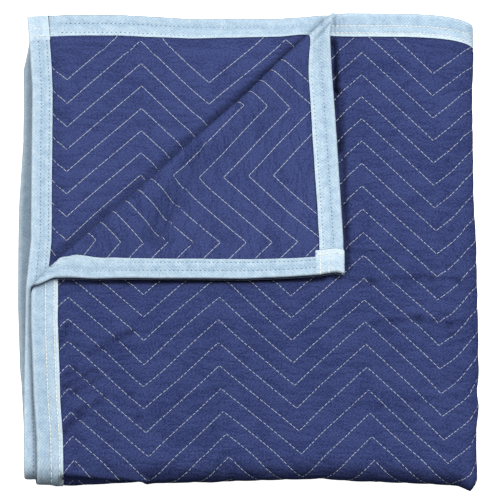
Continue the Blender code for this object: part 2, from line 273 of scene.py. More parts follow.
# The main creases, from one place on the cloth to another: how far they reach to both sides, and how high
# they stand out of the surface, below zero for a trough. The face and the back have their own.
faceCreases = [
    # u, v, to u, to v, reach, height
    (0.3003, 0.036, 0.3030, 0.090, 0.0060, -0.0056),    # beside and below the turned corner
    (0.3030, 0.090, 0.3060, 0.157, 0.0045, -0.0040),
    (0.309, 0.090, 0.313, 0.289, 0.0052, -0.0025),
    (0.030, 0.302, 0.290, 0.300, 0.0052, -0.0023),
    (0.3030, 0.000, 0.3036, 0.028, 0.0016, -0.0011),    # gathers of the tape beside it
    *alike(0.0014, -0.0009, (0.3075, 0.006, 0.3064, 0.028), (0.3090, 0.000, 0.3135, 0.012)),
    # across the right side
    *alike(0.0052, -0.0014, (0.316, 0.271, 0.340, 0.273), (0.340, 0.273, 0.369, 0.267),
           (0.397, 0.290, 0.429, 0.288), (0.322, 0.440, 0.347, 0.439), (0.347, 0.439, 0.381, 0.443)),
    *alike(0.0052, -0.0022, (0.340, 0.351, 0.385, 0.345), (0.385, 0.345, 0.415, 0.351)),
    (0.316, 0.305, 0.340, 0.303, 0.0065, -0.0014),
    (0.338, 0.304, 0.398, 0.300, 0.0047, -0.0022),
    (0.398, 0.300, 0.427, 0.300, 0.0047, -0.0019),
    (0.313, 0.397, 0.353, 0.395, 0.0052, -0.0012),
    (0.391, 0.424, 0.440, 0.412, 0.0156, -0.0023),
    (0.376, 0.435, 0.423, 0.426, 0.0052, -0.0019),
    # short ones by the folds
    *alike(0.0039, -0.0014, (0.411, 0.340, 0.436, 0.332), (0.413, 0.351, 0.438, 0.343),
           (0.416, 0.361, 0.439, 0.353), (0.416, 0.372, 0.439, 0.363), (0.419, 0.305, 0.439, 0.298),
           (0.421, 0.314, 0.440, 0.307), (0.424, 0.132, 0.438, 0.127), (0.421, 0.145, 0.438, 0.142),
           (0.417, 0.168, 0.438, 0.162), (0.416, 0.250, 0.438, 0.243)),
    # slanting, by the left side
    (0.057, 0.382, 0.100, 0.359, 0.0042, -0.0030),
    (0.029, 0.368, 0.037, 0.350, 0.0042, -0.0028),
    (0.032, 0.405, 0.043, 0.398, 0.0036, -0.0025),
    *alike(0.0036, -0.0026, (0.032, 0.416, 0.064, 0.400), (0.039, 0.423, 0.068, 0.406),
           (0.058, 0.438, 0.071, 0.428)),
    (0.029, 0.462, 0.052, 0.438, 0.0050, -0.0040),
    *alike(0.0046, -0.0014, (0.095, 0.426, 0.105, 0.450), (0.105, 0.450, 0.091, 0.460)),
    (0.112, 0.460, 0.151, 0.435, 0.0052, -0.0012),
    (0.162, 0.429, 0.183, 0.422, 0.0052, -0.0014),
    (0.143, 0.494, 0.137, 0.503, 0.0052, -0.0016),    # down over the last fold
    (0.183, 0.462, 0.172, 0.496, 0.0065, -0.0019),
    (0.194, 0.490, 0.184, 0.505, 0.0052, -0.0019),
    (0.026, 0.4980, 0.112, 0.5050, 0.0032, 0.0022),    # the sharp edge over the front, on the left
    (0.026, 0.5052, 0.106, 0.5095, 0.0060, -0.0046),
]
backCreases = [
    # the same, where u below zero counts from the other end of the cloth
    (-0.294, 0.011, -0.025, 0.273, 0.0090, -0.0034),    # under the roll
    (-0.024, 0.034, -0.025, 0.259, 0.0050, -0.0017),
    (-0.050, 0.036, -0.130, 0.042, 0.0050, -0.0017),
    # ridges across the tape
    *alike(0.0030, 0.0017, (-0.021, 0.051, -0.032, 0.058), (-0.020, 0.078, -0.033, 0.084),
           (-0.020, 0.101, -0.030, 0.109), (-0.021, 0.128, -0.032, 0.133), (-0.021, 0.152, -0.032, 0.152),
           (-0.021, 0.186, -0.032, 0.190), (-0.021, 0.212, -0.031, 0.209)),
    (0.139, 0.146, 0.040, 0.195, 0.0110, -0.0031),    # on the turned corner, below the roll
    (0.145, 0.136, 0.034, 0.185, 0.0035, 0.0020),
    (0.060, 0.140, 0.038, 0.150, 0.0035, 0.0014),
]


def creased(u, v, rows):
    # each row adds its height times (1 - 1.5 d^2) e^-d^2, where d is the distance from its line as a share
    # of its reach, so that a trough has rims
    rise = np.zeros(u.shape)
    for u0, v0, u1, v1, reach, height in rows:
        far = 2.5 * reach     # nothing is left of it there
        near = (u > min(u0, u1) - far) & (u < max(u0, u1) + far)
        near &= (v > min(v0, v1) - far) & (v < max(v0, v1) + far)
        du, dv, a, b = u1 - u0, v1 - v0, u[near] - u0, v[near] - v0
        share = np.clip((a * du + b * dv) / (du * du + dv * dv), 0.0, 1.0)
        square = ((a - share * du) ** 2 + (b - share * dv) ** 2) / reach ** 2
        rise[near] += height * (1.0 - 1.5 * square) * np.exp(-square)
    return rise


def press(x, y, z):
    # scales the height down at the front, left and right, adds the swells, and moves the uneven ends
    front = smooth(1.0 - (y - pack["frontFold"]) / pressed["frontReach"])
    left = smooth(1.0 - (x - pack["leftOpen"]) / pressed["leftReach"])
    right = np.clip(1.0 - (rightEdge - x) / pressed["rightReach"], 0.0, 1.0) ** pressed["rightPower"]
    scale = (1.0 - pressed["front"] * front) * (1.0 - pressed["left"] * left)
    scale = scale * (1.0 - pressed["right"] * right)
    rise = np.zeros_like(x)
    for x0, y0, reachX, reachY, height in swells:
        rise += height * bell(x - x0, y - y0, reachX, reachY)
    share = np.clip(z / (8 * pitch), 0.0, 2.0)     # of the eight layers' height
    nearFront = smooth(1.0 - (y - pack["frontFold"]) / pressed["endsReach"])
    nearFar = smooth(1.0 - (pack["farEdge"] - y) / pressed["endsReach"])
    ahead, beyond = (np.interp(x, ends[:, 0], ends[:, k]) for k in (1, 2))
    return x, y - ahead * nearFront + beyond * nearFar, z * scale + rise * share


def place(u, v, w):
    # sheet coordinates to the folded pack: across, round the front fold, corner turned back, pressed
    u, v, w = (np.array(a, dtype=float) for a in np.broadcast_arrays(u, v, w))
    fromEnd = np.where(u > sheetU / 2, u - sheetU, u)
    w = w + np.where(w > 0.0, creased(u, v, faceCreases), -creased(fromEnd, v, backCreases))
    top = (u < starts[1]) & (v < run)
    shift, height, slid, late = turnedBack(u, v, w)
    shift, slid, late = (np.where(top, value, 0.0) for value in (shift, slid, late))
    x, n = acrossPack(u, np.where(top, height, w))
    x = x + wandered(u, v, x) + shift
    angle = np.clip((v - run) / foldLength, 0.0, 1.0) * math.pi
    along = np.minimum(v, run) - np.maximum(v - run - foldLength, 0.0)
    y = pack["farEdge"] - along - n * np.sin(angle) - shift
    z = centreHeight + n * np.cos(angle)
    right = -turned["lean"] * (np.maximum(y, turned["leanTo"]) - turned["middle"])
    up = np.interp(x + right, drawn[:, 0], drawn[:, 1])
    alongRoll, fromRoll = 0.5 * (right + up) * slid, 0.5 * (right - up) * late
    x, y = x + alongRoll + fromRoll, y + alongRoll - fromRoll
    y = y - late * np.interp(v, sag[:, 0], sag[:, 1]) * smooth(1.0 - u / sagReach)
    x, y, z = press(x, y, z)
    return np.stack([x + pack["middle"][0], y + pack["middle"][1], z + pack["raised"]], axis=-1)


def surfaceRadius(u):
    # radius of the way that a layer takes round the front fold
    return np.maximum(np.abs(acrossPack(np.asarray(u, float), np.zeros(np.shape(u)))[1]), 0.5 * pitch)


def sewnFromCloth(u, v):
    # v measured along the layer's own surface, which has more cloth round the fold the further out it lies
    share = np.clip((v - run) / foldLength, 0.0, 1.0)
    return np.minimum(v, run) + share * math.pi * surfaceRadius(u) + np.maximum(v - run - foldLength, 0.0)


def clothFromSewn(u, q):
    # the way back from that length to v
    arc = math.pi * surfaceRadius(u)
    share = np.clip((q - run) / arc, 0.0, 1.0)
    return np.minimum(q, run) + share * foldLength + np.maximum(q - run - arc, 0.0)


# The binding tape: a strip folded over the edge, its outside a half circle round the edge.
binding = {
    "high": 0.00215,             # the tape's outside over the cloth's middle
    "low": 0.00128,              # and its inside
    "centre": 0.00095,           # the half circle's middle, inside the edge
    "faceFlange": 0.0268,        # width on the face
    "backFlange": 0.0240,        # on the back of the two ends
    "sideFlange": 0.0195,        # on the back of the two sides
    # share of that width added, its middle and its reach: in the outer side's tape and the upper end's
    "wider": ((0.36, 0.305, 0.031), (0.10, 0.245, 0.045)),
    "slimmer": ((-0.14, sheetU - 0.290, 0.120), (-0.10, 0.255, 0.045)),
    # share of the width that goes up and down, over what length, and seed
    "backPlay": (0.012, 0.019, 8),
    "facePlay": (0.010, 0.023, 9),
    "lap": 0.0280,               # a side's tape goes round the corner this far, and an end's begins past it
    "lapFlanges": (0.0265, 0.0200),    # its width there on the back, on the outer side and on the inner
    "lapRise": 0.00025,          # the lapped corner stands over the tape beside it
    "reached": 0.0300,           # length over which an end's tape is drawn out to meet them
    "pinch": 0.00040,            # how deep the sewing pulls the tape in
    "pinchReach": 0.0011,        # and how far to both sides
    "faceLines": (0.0145, 0.0230),     # the two seams, from the edge
    "backLines": (0.42, 0.84),   # and on the back, as shares of the width
    "ripple": 0.00022,           # height of the ripples
    # length along the tape, length across it, share and seed
    "ripples": ((0.0052, 0.011, 1.0, 3), (0.0150, 0.009, 0.7, 4)),
    "rippleFrom": 0.0040,        # distance from the edge where they have their full height
    "step": 0.0030,              # from place to place along the tape
    "hiddenStep": 0.0080,        # where it is hidden
    "frontStep": 0.0015,         # round the front fold
    "foldStep": 0.0010,          # and round the folds at the sides
    "roll": (0.285, 0.330, 0.0014),    # where it goes round the roll, from, to and step
    "lowerSeen": 0.3500,         # how far the ends' tape is seen from the inner side
    "sideFrom": 0.0040,          # the first of those places on a side
    "cornerOut": 0.0012,         # a side's tape stands this far out over the end
    "cornerIn": 0.0008,          # where the rows of points that close it begin
    "cornerRows": 5,             # and how many they are
    "roundPoints": 7,            # points round the edge, between the face and the back
    "lapEdge": 0.0003,           # length over which a lap's width goes over to the side's own
    "lapGap": 0.0001,            # how far past the lap's length an end's tape begins
    "backGap": 0.0002,           # and how much further past the lap's width, on the back
    "fullTo": 0.0006,            # how far past the lap's length it is as thick as elsewhere
    "leastSide": 0.00025,        # places that lie closer than this to the one before are left out
    "leastEnd": 0.0004,
}
# Where the profile has its points, as shares of a flange: closer at the seams.
faceSteps = np.array([1.0, 0.985, 0.95, 0.91, 0.88, 0.858, 0.836, 0.80, 0.74, 0.66, 0.60, 0.565,
                      0.541, 0.515, 0.48, 0.42, 0.35, 0.28, 0.21, 0.15, 0.09])
backSteps = np.array([1.0, 0.985, 0.95, 0.90, 0.865, 0.84, 0.815, 0.77, 0.71, 0.65, 0.59, 0.53,
                      0.475, 0.445, 0.42, 0.395, 0.35, 0.29, 0.22, 0.15, 0.10])

# The quilting: rows of zigzag stitches on a grid that they follow, a little askew as sewn.
quilting = {
    "rows": 0.0250,              # from one row to the next
    "half": 0.07275,             # from a peak to a trough
    "peak": 0.0400,              # the first peak
    "firstRow": -0.0050,         # where the first row would have its peak
    "faceGrid": (29, 10),        # grid steps from peak to trough, and from row to row, on the face
    "backGrid": (23, 8),         # and on the back
    "seamHalf": 0.0013,          # half the quilt's thickness at a row
    "puffHalf": 0.0024,          # and between rows
    "puffPower": 2.4,            # how steeply it rises from a row
    "flatPuff": 0.55,            # the share of the rise that a layer without channels has
    "bendFlat": 0.6,             # how much flatter the channels are on the first bend
    "bendReach": 0.0140,         # and how far from its middle
    "pinched": 0.0030,           # width of the cloth's rise from the tape
    "freeFrom": 0.0235,          # distance from the edges where the pulls below are felt in full
    "seen": 0.3250,              # how far the back is seen from the turned corner
    # lengths over which the channels end: past the first bend and before the end of the front fold
    "faceFade": (0.0040, 0.0200),
    "backFade": 0.0060,          # and on the back
    "tucked": 0.0018,            # how far its long edges stop inside the tape
    "faceBound": 0.0300,         # how far the cells under the tape go, on the face
    "backBound": 0.0245,         # and on the back
    "boundStep": 0.0040,         # their size
    "bendStep": 0.00135,         # and that of the cells that aren't on the sewn grid: round the folds,
    "plainStep": 0.0330,         # on the runs between them,
    "longStep": 0.0300,          # along the runs,
    "frontStep": 0.0040,         # round the front fold,
    "faceEndStep": 0.0125,       # and past it, on the face
    "backEndStep": 0.0450,       # and on the back
    "leastAcross": 0.0006,       # lines that lie closer than this to the one before are left out
    "leastAlong": 0.0008,
}
# Where the sewn rows lie askew in the cloth, stretched or dragged by the folding.
pulls = [
    # u, v, reach in u, reach in v, pull in u, pull in v
    (0.300, 0.560, 0.190, 0.130, 0.0140, 0.0000),    # dragged to the right at the front
    (0.331, 0.280, 0.100, 0.075, 0.0000, 0.0042),
    (0.404, 0.400, 0.060, 0.150, 0.0000, 0.0035),
    (0.404, 0.510, 0.050, 0.060, 0.0040, 0.0000),
    (0.185, 0.500, 0.050, 0.060, 0.0042, -0.0022),
    (0.113, 0.440, 0.040, 0.060, -0.0036, -0.0020),
    (0.113, 0.395, 0.035, 0.030, 0.0008, 0.0028),
    (0.186, 0.310, 0.030, 0.030, 0.0022, 0.0000),
    (0.404, 0.160, 0.045, 0.060, 0.0000, 0.0018),
    (0.040, 0.440, 0.050, 0.120, -0.0045, -0.0032),
    (0.458, 0.380, 0.018, 0.300, 0.0000, -0.0130),    # drawn up along the folds on the right
    (0.458, 0.165, 0.018, 0.050, 0.0000, -0.0050),
    (0.458, 0.045, 0.018, 0.022, 0.0000, -0.0050),
    (0.421, 0.370, 0.014, 0.270, 0.0000, 0.0042),     # and slack before them
    (0.185, 0.080, 0.080, 0.080, 0.0065, 0.0000),    # on the turned corner
    (0.060, 0.150, 0.070, 0.140, -0.0045, 0.0000),
    (0.113, 0.110, 0.035, 0.070, -0.0015, 0.0000),
    (0.040, 0.150, 0.060, 0.100, 0.0000, 0.0030),
    (0.040, 0.190, 0.050, 0.055, 0.0000, 0.0042),
    (0.113, 0.170, 0.040, 0.050, 0.0000, 0.0022),
    (0.113, 0.080, 0.040, 0.035, 0.0000, -0.0015),
    (1.640, 0.150, 0.200, 0.300, 0.0045, 0.0108),    # on the layer under it
    (1.567, 0.080, 0.040, 0.100, 0.0030, -0.0010),
    (1.641, 0.110, 0.035, 0.200, -0.0024, 0.0000),
    (1.713, 0.260, 0.060, 0.040, 0.0000, 0.0042),
    (1.713, 0.060, 0.030, 0.040, 0.0000, -0.0020),
]


def zigzag(u, grid):
    # a triangle wave, zero at a peak, and at a trough as deep as the grid's diagonal goes
    half = quilting["half"]
    t = np.mod(u - quilting["peak"], 2 * half)
    return np.minimum(t, 2 * half - t) / half * quilting["rows"] * grid[0] / grid[1]


def rowDistance(u, q, grid):
    # how far a place lies from the nearest row, square to the row
    t = (q - quilting["firstRow"] - zigzag(u, grid)) / quilting["rows"]
    return np.abs(t - np.maximum(np.round(t), 0.0)) * quilting["rows"] * slant


def drift(u, v):
    # sum of the pulls, each falling off like exp(-(distance / reach)^2)
    alongU, alongV = np.zeros_like(u), np.zeros_like(u)
    for u0, v0, reachU, reachV, pullU, pullV in pulls:
        share = bell(u - u0, v - v0, reachU, reachV)
        alongU, alongV = alongU + pullU * share, alongV + pullV * share
    return alongU, alongV


def unevenly(along, rows):
    # 1, and more or less than it by each row's share round its middle
    return 1.0 + sum(share * np.exp(-(((along - middle) / reach) ** 2)) for share, middle, reach in rows)


def fromEdges(u, v):
    # distance to the cloth's nearest edge
    return np.minimum(np.minimum(u, sheetU - u), np.minimum(v, sheetV - v))


def inset(u, v, onFace):
    # distance to the nearest edge of the binding tape, below zero under the tape
    if onFace:
        return fromEdges(u, v) - binding["faceFlange"]
    outer = binding["sideFlange"] * unevenly(v, binding["wider"])
    end = binding["backFlange"] * unevenly(u, binding["slimmer"])
    fromSides = np.minimum(u - outer, sheetU - u - binding["sideFlange"])
    return np.minimum(fromSides, np.minimum(v, sheetV - v) - end)


def seenFully(u, v, onFace):
    # 1 where the grid is fine enough to carry the channels between rows, 0 where only a flat layer is
    if onFace:
        past, before = quilting["faceFade"]
        return smooth((starts[2] + past - u) / past) * smooth((run + foldLength - v) / before)
    near = np.minimum(u, sheetU - u)
    return smooth((quilting["seen"] - near) / quilting["backFade"]) * smooth(
        (quilting["seen"] - v) / quilting["backFade"])


def sewnPlace(u, q, onFace):
    # sewn coordinates to cloth coordinates and w, which rises like 1 - (1 - d)^power from each row
    v = clothFromSewn(u, q)
    free = smooth(fromEdges(u, v) / quilting["freeFrom"])
    alongU, alongV = drift(u, v)
    clothU, v = u + free * alongU, clothFromSewn(u, q + free * alongV)
    grid = quilting["faceGrid" if onFace else "backGrid"]
    away = np.clip(rowDistance(u, q, grid) / (quilting["rows"] * slant / 2), 0.0, 1.0)
    puff = 1.0 - (1.0 - away) ** quilting["puffPower"]
    fromBend = (u - (starts[1] + starts[2]) / 2) / quilting["bendReach"]
    roundBend = np.exp(-(fromBend ** 2)) if onFace else 0.0
    flat = quilting["flatPuff"]
    puff = flat + (puff - flat) * seenFully(u, v, onFace) * (1.0 - quilting["bendFlat"] * roundBend)
    full = quilting["seamHalf"] + (quilting["puffHalf"] - quilting["seamHalf"]) * puff
    out = smooth(inset(clothU, v, onFace) / quilting["pinched"])
    w = pack["edgeHalf"] + (full - pack["edgeHalf"]) * out
    return clothU, v, w if onFace else -w


def addObject(name, data):
    # an object in the scene with this mesh, lamp or camera
    made = bpy.data.objects.new(name, data)
    bpy.context.scene.collection.objects.link(made)
    return made


def makeMesh(name, points, faces, uvs=None):
    # whole arrays into a mesh: points, triangles, and one UV for each point
    used, faces = np.unique(faces, return_inverse=True)
    faces = faces.reshape(-1, 3)
    points = points[used]
    if signedVolume(points, faces) < 0.0:
        faces = faces[:, ::-1]
    mesh = bpy.data.meshes.new(name)
    mesh.vertices.add(len(points))
    mesh.vertices.foreach_set("co", points.astype(np.float32).ravel())
    mesh.loops.add(faces.size)
    mesh.loops.foreach_set("vertex_index", faces.astype(np.int32).ravel())
    mesh.polygons.add(len(faces))
    mesh.polygons.foreach_set("loop_start", np.arange(0, faces.size, 3, dtype=np.int32))
    mesh.update(calc_edges=True)
    if uvs is not None:
        layer = mesh.uv_layers.new(name="UVMap")
        layer.uv.foreach_set("vector", uvs[used][faces.ravel()].astype(np.float32).ravel())
    mesh.shade_smooth()
    piece = addObject(name, mesh)
    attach(piece, "root")
    print(name + ":", len(faces), "triangles")
    return piece


def signedVolume(points, faces):
    # six times the volume inside the triangles, below zero where they face inwards
    a, b, c = (points[faces[:, k]] for k in range(3))
    return float(np.einsum("ij,ij->i", a, np.cross(b, c)).sum())


def halves(a, b, c, d, rising):
    # cells a b c d as two triangles each, cut from a to c where rising and from b to d elsewhere
    up = np.broadcast_to(rising, a.shape)[..., None]
    first = np.where(up, np.stack([a, b, c], -1), np.stack([a, b, d], -1))
    second = np.where(up, np.stack([a, c, d], -1), np.stack([b, c, d], -1))
    return np.concatenate([first.reshape(-1, 3), second.reshape(-1, 3)])


def tube(rings):
    # triangles from each ring of points to the next, by the points' numbers
    beside = np.roll(rings, -1, axis=1)
    return halves(rings[:-1], rings[1:], beside[1:], beside[:-1], True)


def zipTogether(lineA, lineB, placesA, placesB):
    # triangles between two lines of points on the same edge, by their places along it
    ofA = np.searchsorted((placesB[1:] + placesB[:-1]) / 2, (placesA[1:] + placesA[:-1]) / 2)
    ofB = np.searchsorted((placesA[1:] + placesA[:-1]) / 2, (placesB[1:] + placesB[:-1]) / 2, side="right")
    first = np.stack([lineA[:-1], lineA[1:], lineB[ofA]], -1)
    second = np.stack([lineA[ofB], lineB[1:], lineB[:-1]], -1)
    return np.concatenate([first, second])


def evenly(first, last, step):
    # places from first to last, about a step apart
    return np.linspace(first, last, max(1, int(round((last - first) / step))) + 1)


def apart(lines, least):
    # sorted lines without the ones that lie too close to the one before, the two ends kept
    lines = np.unique(np.concatenate(lines))
    keep = np.concatenate([[True], np.diff(lines) > least])
    keep[-2] &= lines[-1] - lines[-2] > least
    keep[-1] = True
    return lines[keep]


def acrossLines(grid, fine, edge):
    # u lines: on the sewn grid over each fine stretch, close together round a bend, and far apart elsewhere
    step = quilting["half"] / grid[0]
    sewn = quilting["peak"] + step * np.arange(-grid[0], int(sheetU / step))
    clear = 0.3 * step     # of a stretch's ends, so that no cell is a sliver
    lines = [sewn[(sewn > a + clear) & (sewn < b - clear)] for a, b in fine]
    for k, (kind, *_) in enumerate(section):
        stretch = evenly(starts[k], starts[k + 1], quilting["bendStep" if kind == "bend" else "plainStep"])
        covered = np.any([(stretch > a) & (stretch < b) for a, b in fine], axis=0)
        lines.append(stretch[~covered])
    bound = evenly(0.0, edge, quilting["boundStep"])
    return apart([bound, sheetU - bound] + lines, quilting["leastAcross"])


def alongLines(grid, lastSeen, edge):
    # v lines: on the sewn grid of the top layer to lastSeen, then far apart, with the front fold's own
    step = quilting["rows"] / grid[1]
    q = quilting["firstRow"] + step * np.arange(0, int(sheetV / step))
    q = q[(q > edge / 2) & (q < lastSeen)]
    arc = math.pi * surfaceRadius(0.0)
    later = [evenly(max(lastSeen, a), b, s) for a, b, s in
             ((0.0, run, quilting["longStep"]), (run, run + arc, quilting["frontStep"])) if b > lastSeen]
    lines = [clothFromSewn(0.0, line) for line in [q] + later]
    endStep = quilting["faceEndStep" if grid == quilting["faceGrid"] else "backEndStep"]
    lines.append(evenly(run + foldLength, sheetV, endStep))
    bound = evenly(0.0, edge, quilting["boundStep"])
    return apart([bound, [sheetV - edge, sheetV]] + lines, quilting["leastAlong"])


backPlace = 2.0 * sheetU     # the back's places on the UV map lie this far from the face's


def makeQuilt():
    # The face and the back are two grids on the cloth, each fine where it shows, zipped at the edges.
    seen = quilting["seen"]
    frontEnd = run + math.pi * surfaceRadius(0.0)
    sides = [
        (True, quilting["faceGrid"], [(0.0, starts[1])], frontEnd, quilting["faceBound"]),
        (False, quilting["backGrid"], [(0.0, seen), (sheetU - seen, sheetU)], seen, quilting["backBound"]),
    ]
    points, faces, uvs, edges = [], [], [], []
    for onFace, grid, fine, lastSeen, bound in sides:
        u, v = acrossLines(grid, fine, bound), alongLines(grid, lastSeen, bound)
        gridU, gridV = np.meshgrid(u, v, indexing="ij")
        q = sewnFromCloth(gridU, gridV)
        clothU, clothV, w = sewnPlace(gridU, q, onFace)
        clothV[:, 0], clothV[:, -1] = quilting["tucked"], sheetV - quilting["tucked"]
        index = np.arange(gridU.size).reshape(gridU.shape) + sum(map(len, points))
        rising = np.mod((u[1:] + u[:-1]) / 2 - quilting["peak"], 2 * quilting["half"]) < quilting["half"]
        cells = [index[:-1, :-1], index[1:, :-1], index[1:, 1:], index[:-1, 1:]]
        made = halves(*cells, rising[:, None])
        points.append(place(clothU, clothV, w).reshape(-1, 3))
        faces.append(made if onFace else made[:, ::-1])
        uvs.append(np.stack([gridU + (0.0 if onFace else backPlace), q], -1).reshape(-1, 2))
        edges.append([(index[:, 0], u), (index[::-1, -1], -u[::-1]),
                      (index[0, ::-1], -v[::-1]), (index[-1], v)])
    for (lineA, placesA), (lineB, placesB) in zip(*edges):
        faces.append(zipTogether(lineA, lineB, placesA, placesB)[:, ::-1])
    return makeMesh("quilted_cloth", np.concatenate(points), np.concatenate(faces), np.concatenate(uvs))


quilt = makeQuilt()


def softNoise(x, y, seed):
    # smooth noise between -1 and 1: random values on whole numbers, blended smoothly between them
    many = 64     # after so many they come again
    table = np.random.default_rng(seed).uniform(-1.0, 1.0, (many, many))
    i, j = np.floor(x).astype(int), np.floor(y).astype(int)
    a, b = smooth(x - i), smooth(y - j)
    below, above = (table[i % many, row % many] * (1 - a) + table[(i + 1) % many, row % many] * a
                    for row in (j, j + 1))
    return below * (1 - b) + above * b


def tapeHeight(along, away, flange, onFace, lap):
    # the tape's outside: flat, pulled in along its two seams, with small ripples between the stitches
    seams = [np.where(onFace | lap, faceLine, backLine * flange)
             for faceLine, backLine in zip(binding["faceLines"], binding["backLines"])]
    pulled = sum(np.exp(-(((away - seam) / binding["pinchReach"]) ** 2)) for seam in seams)
    ripple = sum(share * softNoise(along / long, away / wide, seed)
                 for long, wide, share, seed in binding["ripples"])
    shaped = binding["ripple"] * ripple + binding["lapRise"] * lap - binding["pinch"] * pulled
    return binding["high"] + shaped * np.clip(away / binding["rippleFrom"], 0.0, 1.0)


def playing(along, play):
    # 1, and more or less than it by a soft noise along the tape
    share, long, seed = play
    return 1.0 + share * softNoise(along / long, along * 0.0, seed)


def makeBinding(name, alongV, other, backFlange, lapFlange, stations, uneven=(), further=(0.0, 0.0)):
    # The profile goes in over the face, round the edge and out over the back, as an outside and an inside
    # with as many points. A lapped piece closes at its ends like a quarter ellipse, and others meet there.
    # The rows of uneven change its width on the back, and further draws out its two ends there.
    turns = np.linspace(math.pi / 2, -math.pi / 2, binding["roundPoints"] + 2)[1:-1]
    lapped = lapFlange is not None
    along = np.broadcast_to(stations[:, None], (len(stations), 2 * len(faceSteps) + len(turns)))
    lap = (np.minimum(along, sheetV - along) < binding["lap"] + 1e-6) & lapped     # and a little for rounding
    flange = np.where(lap, lapFlange or 0.0, backFlange) * playing(along, binding["backPlay"])
    flange = flange * unevenly(along, uneven)
    faceFlange = binding["faceFlange"] * playing(along, binding["facePlay"])
    count = len(faceSteps)
    away = np.full(along.shape, binding["centre"])
    away[:, :count] = faceFlange[:, :count] * faceSteps
    away[:, -count:] = flange[:, -count:] * backSteps[::-1]
    rise = np.concatenate([np.ones(count), np.sin(turns), -np.ones(count)])
    bulge = np.concatenate([np.zeros(count), np.cos(turns), np.zeros(count)])
    high = tapeHeight(along, away, flange, rise > 0.0, lap)
    around = np.broadcast_to(-binding["high"] * (math.pi / 2 - turns), (len(stations), len(turns)))
    across = np.concatenate([away[:, :count] - binding["centre"], around,
                             binding["centre"] - away[:, -count:] - math.pi * binding["high"]], axis=1)
    sides = []
    for height in (high, np.full(away.shape, binding["low"])):
        sides.append([away - bulge * height, rise * height, along.copy()])
    if lapped:
        closing = binding["cornerRows"]
        turn = np.linspace(0.0, math.pi / 2, closing + 1)[:-1, None]
        for values, radius in zip(sides, (binding["high"], binding["low"])):
            mean = (values[0][[0, -1]] + values[0][[0, -1], ::-1]) / 2
            for rows, edge, inwards, angle in ((slice(0, closing), 0.0, 1.0, turn),
                                               (slice(-closing, None), sheetV, -1.0, turn[::-1])):
                values[1][rows] *= np.sin(angle)
                values[2][rows] = edge + inwards * (binding["centre"] - radius * np.cos(angle))
            values[0][[0, -1]] = mean
    ring = [np.concatenate([a, b[:, ::-1]], axis=1) for a, b in zip(*sides)]
    index = np.arange(ring[0].size).reshape(ring[0].shape)
    points = away.shape[1]
    for row in (0, -1):
        if lapped:
            for line in (index[row, :points], index[row, points:]):
                line[points // 2 + 1:] = line[:points // 2][::-1]
        else:
            index[row, points:] = index[row, :points][::-1]
            for values in ring:
                values[row, :points] = (values[row, :points] + values[row, points:][::-1]) / 2
    onBack = (1.0 - np.concatenate([rise, rise[::-1]])) / 2
    nearEnd = smooth((stations[0] - ring[2]) / binding["reached"] + 1.0)
    farEnd = smooth((ring[2] - stations[-1]) / binding["reached"] + 1.0)
    ring[2] = ring[2] + onBack * (further[1] * farEnd - further[0] * nearEnd)
    faces = tube(index)
    whole = (faces[:, 0] != faces[:, 1]) & (faces[:, 1] != faces[:, 2]) & (faces[:, 0] != faces[:, 2])
    uvs = np.stack([ring[2], np.concatenate([across, across[:, ::-1]], axis=1)], -1).reshape(-1, 2)
    away, w, along = (values.ravel() for values in ring)
    away = np.abs(other - away)
    u, v = (away, along) if alongV else (along, away)
    return makeMesh(name, place(u, v, w), faces[whole], uvs)


def tapeStations(first, last, stretches):
    # places along a tape: every stretch has its own step
    lines = [evenly(max(a, first), min(b, last), step) for a, b, step in stretches if b > first and a < last]
    return apart([[first, last]] + lines, binding["leastEnd"])


def makeBindings():
    # the two sides' tapes go round the corners and lap the ends' tapes, which stop there
    step, hidden, lap, roll = (binding[key] for key in ("step", "hiddenStep", "lap", "roll"))
    first, out, edge, gap = (binding[key] for key in ("sideFrom", "cornerOut", "lapEdge", "lapGap"))
    alongSides = [(first, roll[0], step), roll, (roll[1], run, step),
                  (run, run + foldLength, binding["frontStep"]), (run + foldLength, sheetV - first, hidden)]
    lapEnds = [lap, lap + edge, sheetV - lap - edge, sheetV - lap]
    inner = apart([lapEnds, tapeStations(first, sheetV - first, alongSides)], binding["leastSide"])
    corner = np.linspace(-out, binding["cornerIn"], binding["cornerRows"])
    sideStations = np.concatenate([corner, [out], inner, [sheetV - out], sheetV - corner[::-1]])
    acrossEnds = [(0.0, roll[0], step), roll, (roll[1], starts[1], step)]
    acrossEnds += [(starts[k], starts[k + 1], binding["foldStep"] if k % 2 else hidden) for k in range(1, 7)]
    acrossEnds.append((sheetU - binding["lowerSeen"], sheetU, step))
    full = lap + binding["fullTo"]
    endStations = apart([[full, sheetU - full], tapeStations(lap + gap, sheetU - lap - gap, acrossEnds)],
                        binding["leastEnd"])
    side, end, laps = (binding[key] for key in ("sideFlange", "backFlange", "lapFlanges"))
    further = [lap - width - binding["backGap"] for width in laps]     # the laps are narrower on the back
    pieces = {
        "side_binding_outer": makeBinding("side_tape_outer", True, 0.0, side, laps[0], sideStations,
                                          binding["wider"]),
        "side_binding_inner": makeBinding("side_tape_inner", True, sheetU, side, laps[1], sideStations),
        "end_binding_upper": makeBinding("end_tape_upper", False, 0.0, end, None, endStations,
                                         binding["slimmer"], further),
        "end_binding_lower": makeBinding("end_tape_lower", False, sheetV, end, None, endStations,
                                         (), further),
    }
    for node, piece in pieces.items():
        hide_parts(node)
    return list(pieces.values())


tapes = makeBindings()
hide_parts("quilt")


